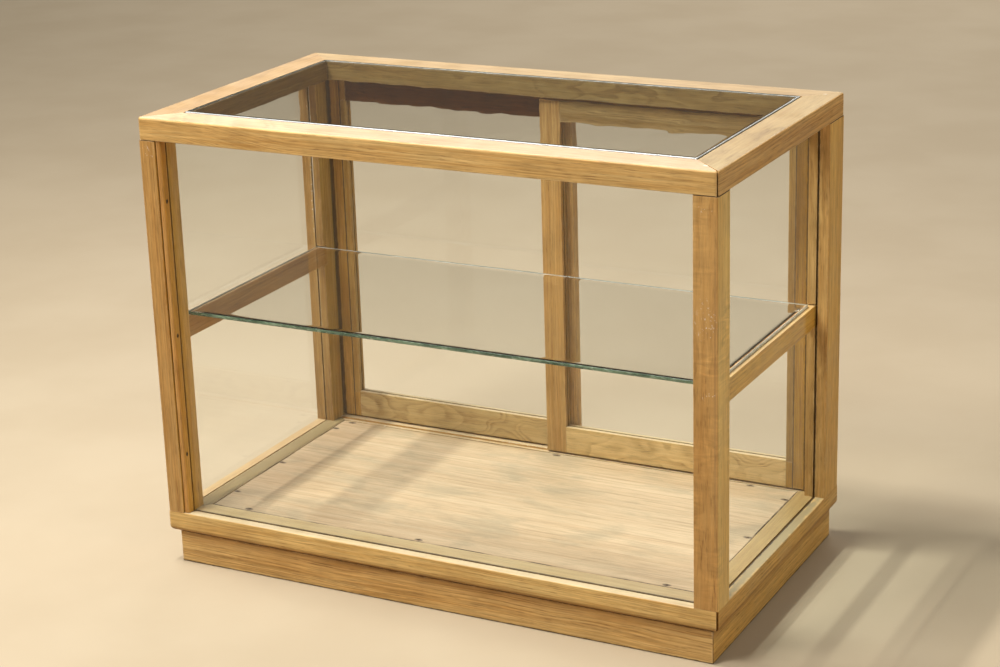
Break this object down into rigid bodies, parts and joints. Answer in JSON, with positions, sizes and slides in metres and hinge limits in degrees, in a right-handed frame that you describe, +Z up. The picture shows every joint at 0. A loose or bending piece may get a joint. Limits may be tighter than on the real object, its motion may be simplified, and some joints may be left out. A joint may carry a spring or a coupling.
{
  "type": "glass display case",
  "caption": "Low wooden display case with glass on top and all sides, a loose glass shelf on side rails and two framed glass doors that slide past each other along the back.",
  "frame": {"origin": "on the floor, at the plan centre of the rim and top frame", "axes": "+X to the right as seen from the front, +Y towards the sliding doors at the back, +Z up"},
  "size_m": [0.91, 0.497, 0.7062],
  "materials": {
    "top_wood": "worn clear varnish",
    "post_wood": "worn clear varnish",
    "rim_wood": "worn clear varnish",
    "bead_wood": "worn clear varnish",
    "board_wood": "bare, pale, worn",
    "plinth_wood": "worn clear varnish, scuffed at the foot",
    "door_wood": "worn clear varnish",
    "nail_steel": "rusted",
    "top_glass": "old, slightly wavy",
    "pane_glass": "clear",
    "shelf_glass": "clear, green edge"
  },
  "bodies": {
    "cabinet": {"top_rail_front": "top_wood", "top_rail_back": "top_wood", "top_rail_left": "top_wood", "top_rail_right": "top_wood", "post_front_left": "post_wood", "post_front_right": "post_wood", "post_back_left": "post_wood", "post_back_right": "post_wood", "front_glass_bead": "bead_wood", "bead_nails": "nail_steel", "rim_front": "rim_wood", "rim_back": "rim_wood", "rim_left": "rim_wood", "rim_right": "rim_wood", "floor_board": "board_wood", "floor_nails": "nail_steel", "plinth_front": "plinth_wood", "plinth_back": "plinth_wood", "plinth_left": "plinth_wood", "plinth_right": "plinth_wood", "glue_blocks": "plinth_wood", "shelf_rail_left": "post_wood", "shelf_rail_right": "post_wood", "top_glass": "top_glass", "front_glass": "pane_glass", "left_glass": "pane_glass", "right_glass": "pane_glass", "glass_shelf": "shelf_glass"},
    "left_door": {"left_door_stile_outer": "door_wood", "left_door_stile_inner": "door_wood", "left_door_top_rail": "door_wood", "left_door_bottom_rail": "door_wood", "left_door_bead": "bead_wood", "left_door_glass": "pane_glass"},
    "right_door": {"right_door_stile_outer": "door_wood", "right_door_stile_inner": "door_wood", "right_door_top_rail": "door_wood", "right_door_bottom_rail": "door_wood", "right_door_bead": "bead_wood", "right_door_glass": "pane_glass"}
  },
  "joints": [
    {"name": "left_door_slide", "type": "slide", "parent": "cabinet", "child": "left_door", "axis": [1, 0, 0], "range_m": [0, 0.395]},
    {"name": "right_door_slide", "type": "slide", "parent": "cabinet", "child": "right_door", "axis": [1, 0, 0], "range_m": [-0.395, 0]}
  ]
}
